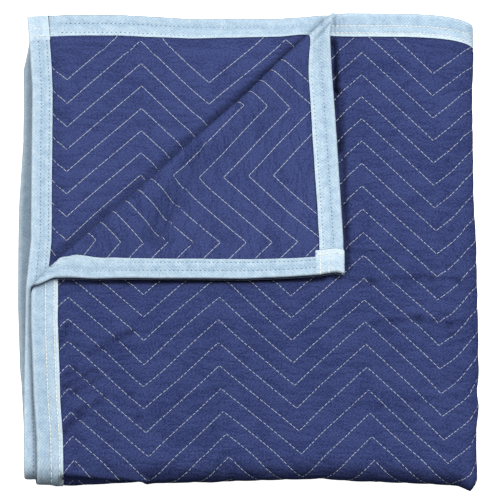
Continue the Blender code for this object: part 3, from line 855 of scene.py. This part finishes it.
# The sewing thread: each stitch is a short arched length whose ends go down into the cloth.
thread = {
    "pitch": 0.0047,             # from stitch to stitch in the quilting
    "shown": 0.96,               # share of the pitch that lies on the face
    "backShown": 1.00,           # and on the back
    "radius": 0.00028,
    "play": 0.05,                # how unevenly they are spaced, as a share of the pitch
    "lengthPlay": 0.07,          # and how uneven their lengths are
    "underTape": 0.0010,         # a row goes this far in under the tape
    "tapePitch": 0.0044,         # from stitch to stitch on the tape
    "tapeShown": 0.98,
    "tapeBackShown": 0.40,
    "tapeRadius": 0.00060,
    "backSlimmer": 0.62,         # the radius on the back of the tape's seams, as a share of that
    "ends": 0.45,                # a stitch's radius at its ends, as a share
    "flat": 0.8,                 # its height as a share of its width
    "proud": 0.35,               # height of its middle over the cloth, in radii
    "dip": 0.8,                  # and how deep its ends lie in it
    "backDip": 0.2,
    "tapeDip": 0.45,
    "sideFrom": 0.0030,          # the seams on a side's tape begin this far from its end
    "cornerFrom": 0.0020,        # and round a lapped corner
    "clear": 0.0010,             # they stop this far from a lap's edge
    "across": 0.0210,            # a third seam on the outer side's laps, from the side's edge
    "seed": 5,
    "backSeed": 6,
}
ringPlaces = np.array([-1.0, -0.45, 0.45, 1.0])[:, None]     # of a stitch, as shares of half its length


def makeStitches(name, u, v, w, radius, dip):
    # u, v and w have four rows, the places along each stitch; five-sided rings there, thin at the ends
    here = place(u, v, w)
    up = place(u, v, w + np.sign(w) * 0.0002) - here     # from a step straight out of the cloth
    up /= np.linalg.norm(up, axis=-1, keepdims=True)
    along = np.gradient(here, axis=0)
    along /= np.linalg.norm(along, axis=-1, keepdims=True)
    across = np.cross(up, along)
    thick = radius * np.array([thread["ends"], 1.0, 1.0, thread["ends"]])[:, None, None]
    sunk = radius * np.array([-dip, thread["proud"], thread["proud"], -dip])[:, None, None]
    sides = 5
    turns = np.arange(sides) * 2 * math.pi / sides
    rings = [here + up * sunk + thick * (across * math.cos(a) + up * math.sin(a) * thread["flat"])
             for a in turns]
    points = np.stack(rings, axis=2).transpose(1, 0, 2, 3)          # stitch, ring, side, xyz
    local = np.arange(len(here) * sides).reshape(-1, sides)
    last = local[-1, 0]
    caps = [[0, k, k + 1] for k in (1, 2, 3)] + [[last, last + k + 1, last + k] for k in (1, 2, 3)]
    pattern = np.concatenate([tube(local), caps])
    faces = (pattern[None] + local.size * np.arange(len(points))[:, None, None]).reshape(-1, 3)
    return makeMesh(name, points.reshape(-1, 3), faces)


def quiltingStitches(name, onFace, keep):
    # along each row, evenly spaced with a little play; u goes with the row's slant
    grid = quilting["faceGrid" if onFace else "backGrid"]
    rng = np.random.default_rng(thread["seed" if onFace else "backSeed"])
    step = thread["pitch"] * slant
    rows = np.arange(int(1.2 * sheetV / quilting["rows"]))      # some past the end, which are left out below
    middles = np.arange(0.0, sheetU, step)
    middle = middles[None] + rng.uniform(0.0, step, (len(rows), 1))
    middle = middle + rng.normal(0.0, thread["play"] * step, (len(rows), len(middles)))
    shown = thread["shown" if onFace else "backShown"]
    half = 0.5 * step * shown * (1.0 + rng.normal(0.0, thread["lengthPlay"], middle.shape))
    first = quilting["firstRow"] + quilting["rows"] * rows[:, None]
    q = first + zigzag(middle, grid)
    clothU, v, _ = sewnPlace(middle, q, onFace)
    inside = inset(clothU, v, onFace) > -thread["underTape"]
    chosen = inside & keep(middle, v) & (clothU < sheetU) & (v < sheetV)
    middle, half, first = middle[chosen], half[chosen], np.broadcast_to(first, chosen.shape)[chosen]
    u = middle + half * ringPlaces
    return makeStitches(name, *sewnPlace(u, first + zigzag(u, grid), onFace), thread["radius"],
                        thread["dip" if onFace else "backDip"])


faceStitches = quiltingStitches("quilting_thread_top", True,
                                lambda u, v: (u < starts[2]) & (v < run + foldLength))
underStitches = quiltingStitches("quilting_thread_under", True,
                                 lambda u, v: (u < starts[1]) & (v > run + foldLength))
backStitches = quiltingStitches("quilting_thread_back", False,
                                lambda u, v: np.maximum(np.minimum(u, sheetU - u), v) < quilting["seen"])


def tapeLine(alongV, other, away, first, last, side, shown, flange=0.0, lap=False):
    # stitches along one line on a tape, as rows of u, v and w; side is 1 on the face and -1 on the back
    middle = np.arange(min(first, last), max(first, last), thread["tapePitch"])[None]
    along = middle + 0.5 * thread["tapePitch"] * shown * ringPlaces
    away = np.full(along.shape, away)
    w = side * tapeHeight(along, away, np.full(along.shape, flange), np.full(along.shape, side > 0.0), lap)
    away = np.abs(other - away)
    return (away, along, w) if alongV else (along, away, w)


def joined(lines):
    # all of u, all of v and all of w, from lines that have the three each
    return [np.concatenate(parts, axis=1) for parts in zip(*lines)]


def tapeStitches():
    # pale chains on the face and round the lapped corners, and the dark back of the seam on the other side
    lap, shown = binding["lap"], thread["tapeShown"]
    corner, clear = thread["cornerFrom"], thread["clear"]
    pale, dark = [], []
    for alongV, length, width, flange in ((True, sheetV, sheetU, binding["sideFlange"]),
                                          (False, sheetU, sheetV, binding["backFlange"])):
        for other in (0.0, width):
            near = thread["sideFrom"] if alongV else lap + clear
            for away in binding["faceLines"]:
                pale.append(tapeLine(alongV, other, away, near, length - near, 1.0, shown))
            for share in binding["backLines"]:
                dark.append(tapeLine(alongV, other, share * flange, lap + clear, length - lap - clear, -1.0,
                                     thread["tapeBackShown"], flange))
    for edgeU, width in zip((0.0, sheetU), binding["lapFlanges"]):
        for edgeV in (0.0, sheetV):
            for away in binding["faceLines"]:
                ends = (abs(edgeU - corner), abs(edgeU - width + clear))
                pale.append(tapeLine(False, edgeV, away, *ends, -1.0, shown, lap=True))
    for edgeV in (0.0, sheetV):
        ends = (abs(edgeV - corner), abs(edgeV - lap + clear))
        pale.append(tapeLine(True, 0.0, thread["across"], *ends, -1.0, shown, lap=True))
    slim = thread["tapeRadius"] * thread["backSlimmer"]
    return [makeStitches("tape_thread_face", *joined(pale), thread["tapeRadius"], thread["tapeDip"]),
            makeStitches("tape_thread_back", *joined(dark), slim, thread["tapeDip"])]


tapeThreads = tapeStitches()
threads = [faceStitches, underStitches, backStitches] + tapeThreads


class Shade:
    # One socket in a material's nodes. Sums with it add Math nodes, and node() adds any other kind.
    def __init__(self, material, socket=None):
        self.material, self.socket = material, socket

    def node(self, kind, settings=None, sockets=None, output=0):
        # a new node with its settings made first, then its sockets' values or links, as one of its outputs
        made = self.material.node_tree.nodes.new(kind)
        for key, value in (settings or {}).items():
            if key == "stops":
                stops = made.color_ramp.elements      # the first and the last come first in the list
                for k, (position, colour) in enumerate(value):
                    stop = stops[k] if k < 2 else stops.new(position)
                    stop.position, stop.color = position, colour
            else:
                setattr(made, key, value)
        for key, value in (sockets or {}).items():
            if isinstance(value, Shade):
                self.material.node_tree.links.new(value.socket, made.inputs[key])
            else:
                made.inputs[key].default_value = value
        return Shade(self.material, made.outputs[output])

    def maths(self, operation, *values):
        # a Math node of these numbers and sockets
        return self.node("ShaderNodeMath", {"operation": operation}, dict(enumerate(values)))

    def __add__(self, other):
        return self.maths("ADD", self, other)

    def __radd__(self, other):
        return self.maths("ADD", other, self)

    def __sub__(self, other):
        return self.maths("SUBTRACT", self, other)

    def __rsub__(self, other):
        return self.maths("SUBTRACT", other, self)

    def __mul__(self, other):
        return self.maths("MULTIPLY", self, other)

    def __rmul__(self, other):
        return self.maths("MULTIPLY", other, self)

    def __truediv__(self, other):
        return self.maths("DIVIDE", self, other)

    def __rtruediv__(self, other):
        return self.maths("DIVIDE", other, self)


def newMaterial(name):
    # an empty material with its Principled shader and output; returns both and the node maker
    material = bpy.data.materials.new(name)
    material.use_nodes = True
    shader = material.node_tree.nodes["Principled BSDF"]
    return material, shader, Shade(material)


def linear(colour):
    # sRGB numbers out of 255 to the linear colour that a shader takes
    share = np.array(colour) / 255.0
    return (*np.where(share <= 0.04045, share / 12.92, ((share + 0.055) / 1.055) ** 2.4), 1.0)


def feed(shader, name, value):
    # a link or a plain value into one of the shader's sockets
    if isinstance(value, Shade):
        value.material.node_tree.links.new(value.socket, shader.inputs[name])
    else:
        shader.inputs[name].default_value = value


def noise(make, vector, size, detail=2.0, warp=0.0):
    # smooth noise with features of about this size, between 0 and 1
    return make.node("ShaderNodeTexNoise", None, {"Vector": vector, "Scale": 0.6 / size, "Detail": detail,
                                                 "Distortion": warp}, "Fac")


def twill(make, vector, period):
    # waves along the diagonal, bent a little so that the ribs aren't ruled lines
    return make.node("ShaderNodeTexWave", {"wave_type": "BANDS", "bands_direction": "DIAGONAL"},
                     {"Vector": vector, "Scale": 2 * math.pi / (20.0 * period), "Distortion": 1.5,
                      "Detail": 1.0, "Detail Scale": 1.5}, "Fac")


def paintedFoldShade(make, reach, share):
    # painted shade: 1 in the open, and less by this share down in the folds, where cloth within this reach
    # closes it in; an ambient occlusion node dims the colour there
    openness = make.node("ShaderNodeAmbientOcclusion", {"samples": 8}, {"Distance": reach}, "AO")
    return 1.0 - (1.0 - openness) * share


def scaled(make, colour, factor):
    # a colour times a number
    return make.node("ShaderNodeVectorMath", {"operation": "SCALE"}, {"Vector": colour, "Scale": factor},
                     "Vector")


def ramp(make, stops, factor):
    # the colour at this factor on the way through the stops
    return make.node("ShaderNodeValToRGB", {"stops": stops}, {"Fac": factor}, "Color")


def finish(make, shader, look, tone, height):
    # from the look's dark colour to its light one by the tone, with painted shade in the folds, and with its
    # relief and gloss
    colour = ramp(make, [(0.0, linear(look["dark"])), (1.0, linear(look["light"]))], tone)
    # the base colour carries the painted shade of the folds
    feed(shader, "Base Color", scaled(make, colour, paintedFoldShade(make, look["shadeReach"], look["shade"])))
    feed(shader, "Normal", make.node("ShaderNodeBump", None, {"Height": height, "Strength": look["strength"],
                                                            "Distance": look["relief"]}, "Normal"))
    shader.inputs["Roughness"].default_value = look["roughness"]
    shader.inputs["Specular IOR Level"].default_value = look["gloss"]


clothLook = {
    "light": (64, 76, 125),
    "dark": (33, 42, 86),
    "ribs": 0.00165,             # from rib to rib of the twill
    "ribShare": 0.25,            # each share is of the way from the dark colour to the light one
    "fleckSize": 0.0011,         # of the yarn
    "fleckShare": 2.3,
    "cloudSize": 0.0160,         # soft changes of tone
    "cloudShare": 0.45,
    "rumpleSize": 0.0080,        # soft bumps
    "rumple": 3.0,               # their height, over that of the flecks
    "wrinkleSize": 0.0090,       # sharp little valleys
    "wrinkleShape": (0.30, 1.0, 1.0),    # longer across the pack than along it
    "wrinkle": 26.0,             # how steeply the cloth rises from them
    # painted shade along the wrinkles: how much it dims the colour in their troughs
    "wrinkleShadeShare": 3.6,
    "wrinkleWide": 0.070,        # how far off its middle the noise is where their painted shade stops growing
    "wrinkleMiddle": 0.8,        # and where the painted shade is nil, as a share of that; past it the colour is a little lighter
    "backPaler": 0.15,           # how much paler the back is
    "shade": 0.95,               # how strong the painted shade in the folds is, and how near they close in
    "shadeReach": 0.0160,
    "relief": 0.00025,           # height of the flecks
    "ribRelief": 0.5,            # and of the ribs, as a share of that
    "strength": 0.5,             # how much of it all shows
    "roughness": 0.90,
    "gloss": 0.15,
}


def clothMaterial():
    # twill on the sewn coordinates: diagonal ribs, flecks of the yarn, soft changes of tone, soft bumps, and
    # wrinkles that lie where a smooth noise passes its middle, with painted shade dimming the colour along
    # them
    look = clothLook
    material, shader, make = newMaterial("quilted_cloth")
    uv = make.node("ShaderNodeTexCoord", output="UV")
    ribs, fleck = twill(make, uv, look["ribs"]), noise(make, uv, look["fleckSize"])
    cloud = noise(make, uv, look["cloudSize"], detail=3.0)
    rumple = noise(make, uv, look["rumpleSize"], detail=3.0, warp=0.6)
    drawnOut = make.node("ShaderNodeVectorMath", {"operation": "MULTIPLY"},
                         {0: uv, 1: look["wrinkleShape"]}, "Vector")
    wrinkle = make.maths("ABSOLUTE", noise(make, drawnOut, look["wrinkleSize"], warp=0.8) - 0.5)
    across = make.node("ShaderNodeSeparateXYZ", None, {"Vector": uv}, "X")
    onBack = make.maths("GREATER_THAN", across, 0.75 * backPlace)     # between the face's end and the back
    # painted shade: the colour dims along the wrinkles' troughs and lightens a little between them
    paintedWrinkleShade = make.maths("MINIMUM", wrinkle, look["wrinkleWide"]) - look["wrinkleMiddle"] * look["wrinkleWide"]
    tone = (0.5 + onBack * look["backPaler"] + (ribs - 0.5) * look["ribShare"]
            + (fleck - 0.5) * look["fleckShare"] + (cloud - 0.5) * look["cloudShare"]
            + paintedWrinkleShade * look["wrinkleShadeShare"])
    finish(make, shader, look, tone,
           ribs * look["ribRelief"] + fleck + rumple * look["rumple"] + wrinkle * look["wrinkle"])
    return material


tapeLook = {
    "light": (206, 224, 235),
    "dark": (98, 138, 172),
    "ribs": 0.0016,              # from rib to rib of the twill
    "ribShare": 0.2,
    "mottleSize": 0.0050,        # soft mottling
    "mottleShare": 0.60,
    "fleckSize": 0.0010,         # of the yarn
    "fleckShare": 0.85,
    "patch": 0.20,               # how much paler the lapped corners at the far edge are
    "widest": 0.0300,            # the strips' places are shares of this, from the edge
    "round": 0.0060,             # the way round the edge, to where the back's strips count from
    # place and tone: the first and the last, then those between them
    "strips": ((0.00, 0.80), (1.00, 0.90), (0.05, 0.66), (0.12, 0.54), (0.44, 0.46), (0.50, 0.60),
               (0.72, 0.56), (0.76, 0.74), (0.80, 0.88)),
    "backStrips": ((0.00, 0.78), (1.00, 0.74), (0.06, 0.62), (0.25, 0.54), (0.40, 0.48), (0.46, 0.60),
                   (0.58, 0.60), (0.66, 0.74)),
    # painted shade in the folds: how strong it is, and how near they close in
    "shade": 0.35,
    "shadeReach": 0.0100,
    "relief": 0.0002,
    "ribRelief": 0.5,
    "strength": 0.4,
    "roughness": 0.85,
    "gloss": 0.15,
}


def tapeMaterial():
    # strips of tone from the edge to the seams and past them, then twill, flecks and soft mottling
    look = tapeLook
    material, shader, make = newMaterial("binding_tape")
    uv = make.node("ShaderNodeTexCoord", output="UV")
    along, across = (make.node("ShaderNodeSeparateXYZ", None, {"Vector": uv}, axis) for axis in "XY")
    onFace = make.maths("GREATER_THAN", across, 0.0)
    away = (onFace * across + (1.0 - onFace) * (-1.0 * across - look["round"])) / look["widest"]
    strips = []
    for rows in (look["strips"], look["backStrips"]):
        stops = [(position, (tone, tone, tone, 1.0)) for position, tone in rows]
        strips.append(ramp(make, stops, away))
    strip = onFace * strips[0] + (1.0 - onFace) * strips[1]
    patch = make.maths("LESS_THAN", along, binding["lap"]) * (1.0 - onFace)
    ribs, fleck = twill(make, uv, look["ribs"]), noise(make, uv, look["fleckSize"])
    mottle = noise(make, uv, look["mottleSize"], detail=3.0)
    tone = (strip + patch * look["patch"] + (ribs - 0.5) * look["ribShare"]
            + (fleck - 0.5) * look["fleckShare"] + (mottle - 0.5) * look["mottleShare"])
    finish(make, shader, look, tone, ribs * look["ribRelief"] + fleck)
    return material


threadLook = {
    "cream_thread": (252, 252, 246),
    "slate_thread": (96, 112, 136),
    "grey_thread": (212, 220, 232),
    "twistShade": 0.75,              # painted shade on the twist's dark side, as a share of the thread's colour
    "from": 0.2,                 # the noise goes from dark to light between these
    "to": 0.8,
    "fleckScale": 500.0,
    "roughness": 0.7,
}


def threadMaterial(name):
    # a fine mottle between the thread's colour and a dimmer copy of it, painted shade for its twist
    material, shader, make = newMaterial(name)
    spot = make.node("ShaderNodeTexCoord", output="Object")
    fleck = make.node("ShaderNodeTexNoise", None, {"Vector": spot, "Scale": threadLook["fleckScale"]}, "Fac")
    light = linear(threadLook[name])
    # painted shade of the twist, as a dimmer copy of the thread's colour
    dark = (*(threadLook["twistShade"] * channel for channel in light[:3]), 1.0)
    feed(shader, "Base Color", ramp(make, [(threadLook["from"], dark), (threadLook["to"], light)], fleck))
    shader.inputs["Roughness"].default_value = threadLook["roughness"]
    return material


cloth, tape = clothMaterial(), tapeMaterial()
cream, slate, grey = (threadMaterial(name) for name in ("cream_thread", "slate_thread", "grey_thread"))
quilt.data.materials.append(cloth)
for piece in tapes:
    piece.data.materials.append(tape)
for piece, material in zip(threads, (grey, grey, grey, cream, slate)):
    piece.data.materials.append(material)
    "binding_tape" if piece in tapeThreads else "quilted_cloth"
print("materials done")

studio = {
    "floorSize": 6.0,
    "floorColour": (0.92, 0.92, 0.92, 1.0),
    "floorRoughness": 0.9,
    "floorGlow": 1.0,               # keeps the paper white, with no shadow on it
    "sky": 0.83,                    # straight overhead, fading to nothing at the horizon
    "keyPlace": (1.3, 0.8, 2.0),
    "keySize": 1.3,
    "keyPower": 48.0,
    "fillPlace": (-1.8, 0.3, 1.0),
    "fillSize": 1.0,
    "fillPower": 15.0,
    "tilt": math.radians(26.5),     # of the camera from straight down
    "distance": 7.0,
    "sensor": 36.0,                 # in mm, as the lens
    "lens": 504.0,
    "lookAt": (0.0033, -0.0025, 0.0200),
    "farthest": 30.0,               # where the camera stops seeing
}
white = (1.0, 1.0, 1.0, 1.0)


def addLight(name):
    # a square lamp that looks at the origin from its place
    lamp = bpy.data.lights.new(name, "AREA")
    lamp.size, lamp.energy = studio[name + "Size"], studio[name + "Power"]
    light = addObject(name, lamp)
    x, y, z = studio[name + "Place"]
    light.location = (x, y, z)
    light.rotation_euler = (math.acos(z / np.linalg.norm([x, y, z])), 0.0, math.atan2(x, -y))


def makeStudio():
    # white paper, a pale sky, two lamps and the camera
    half = studio["floorSize"] / 2
    corners = [(-half, -half, 0), (half, -half, 0), (half, half, 0), (-half, half, 0)]
    mesh = bpy.data.meshes.new("floor")
    mesh.from_pydata(corners, [], [(0, 1, 2, 3)])
    floor = addObject("floor", mesh)
    material, shader, _ = newMaterial("floor_paper")
    shader.inputs["Base Color"].default_value = studio["floorColour"]
    shader.inputs["Roughness"].default_value = studio["floorRoughness"]
    shader.inputs["Emission Color"].default_value = white
    shader.inputs["Emission Strength"].default_value = studio["floorGlow"]
    mesh.materials.append(material)
    floor.visible_diffuse = floor.visible_glossy = False
    world = bpy.data.worlds.new("studio")
    world.use_nodes = True
    make = Shade(world)
    towards = make.node("ShaderNodeTexCoord", output="Generated")
    up = make.node("ShaderNodeSeparateXYZ", None, {"Vector": towards}, "Z")
    background = world.node_tree.nodes["Background"]
    background.inputs["Color"].default_value = white
    feed(background, "Strength", make.maths("MAXIMUM", up, 0.0) * studio["sky"])
    bpy.context.scene.world = world
    addLight("key")
    addLight("fill")
    lens = bpy.data.cameras.new("camera")
    lens.sensor_width, lens.lens, lens.clip_end = studio["sensor"], studio["lens"], studio["farthest"]
    camera = addObject("camera", lens)
    tilt, distance = studio["tilt"], studio["distance"]
    x, y, z = studio["lookAt"]
    camera.location = (x, y - distance * math.sin(tilt), z + distance * math.cos(tilt))
    camera.rotation_euler = (tilt, 0.0, 0.0)
    bpy.context.scene.camera = camera
    bpy.context.scene.view_settings.view_transform = "Standard"


makeStudio()
print("studio done")

tapes + threads
